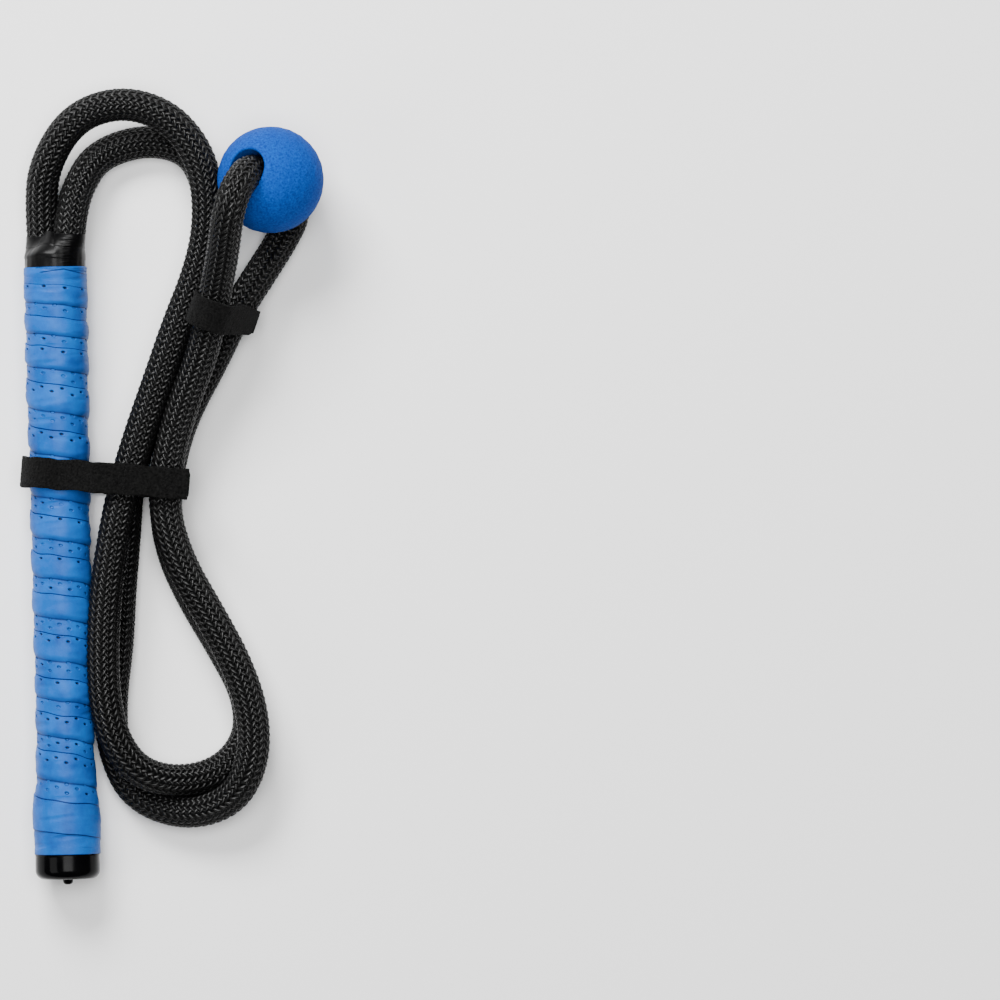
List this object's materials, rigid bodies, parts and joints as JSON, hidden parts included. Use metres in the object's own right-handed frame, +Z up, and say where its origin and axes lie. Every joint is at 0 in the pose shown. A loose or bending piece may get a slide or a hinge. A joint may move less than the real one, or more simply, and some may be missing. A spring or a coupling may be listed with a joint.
{
  "type": "golf swing trainer rope",
  "caption": "Folding golf swing trainer: a taped grip, a thick braided rope doubled through a foam ball, and hook-and-loop straps that hold it folded.",
  "frame": {"origin": "the middle of the folded trainer's outline without the rope, on the surface that it lies on", "axes": "+Y along the grip, from its butt cap towards the end that the rope leaves; +Z up from the surface; +X from the grip towards the ball"},
  "size_m": [0.1319, 0.3368, 0.0665],
  "materials": {
    "wrap": "satin perforated grip tape",
    "cap": "glossy dip-moulded vinyl",
    "tape": "glossy stretched vinyl tape",
    "rope": "braided polyester",
    "foam": "matte closed-cell foam",
    "strap": "hook-and-loop tape",
    "tube": "plain",
    "build_up": "paper tape",
    "adhesive": "set hot-melt"
  },
  "bodies": {
    "grip": {"handle_tube": "tube", "underwrap": "build_up", "grip_wrap": "wrap", "end_cap": "cap", "collar_tape": "tape", "rope_leg_a": "rope", "rope_bight": "rope", "rope_leg_b": "rope", "rope_tail_a": "rope", "rope_tail_b": "rope", "tail_whipping_a": "tape", "tail_whipping_b": "tape", "anchor_filler": "adhesive", "storage_strap_hook": "strap", "storage_strap_loop": "strap", "keeper_strap_hook": "strap", "keeper_strap_loop": "strap"},
    "ball": {"ball": "foam"},
    "storage_tab": {"storage_tab_hook": "strap", "storage_tab_loop": "strap"},
    "keeper_tab": {"keeper_tab_hook": "strap", "keeper_tab_loop": "strap"}
  },
  "joints": [
    {"name": "ball_turn", "type": "hinge", "parent": "grip", "child": "ball", "pos_m": [0.0435, 0.137, 0.032], "axis": [-0.4709, 0.2304, 0.8516], "continuous": true},
    {"name": "storage_tab_peel", "type": "hinge", "parent": "grip", "child": "storage_tab", "pos_m": [-0.01716, 0.01122, 0.03325], "axis": [-0.0993, -0.9951, 0], "range_deg": [0, 140]},
    {"name": "keeper_tab_peel", "type": "hinge", "parent": "grip", "child": "keeper_tab", "pos_m": [0.02881, 0.07775, 0.03258], "axis": [-0.3403, -0.9209, -0.1902], "range_deg": [0, 140]}
  ]
}
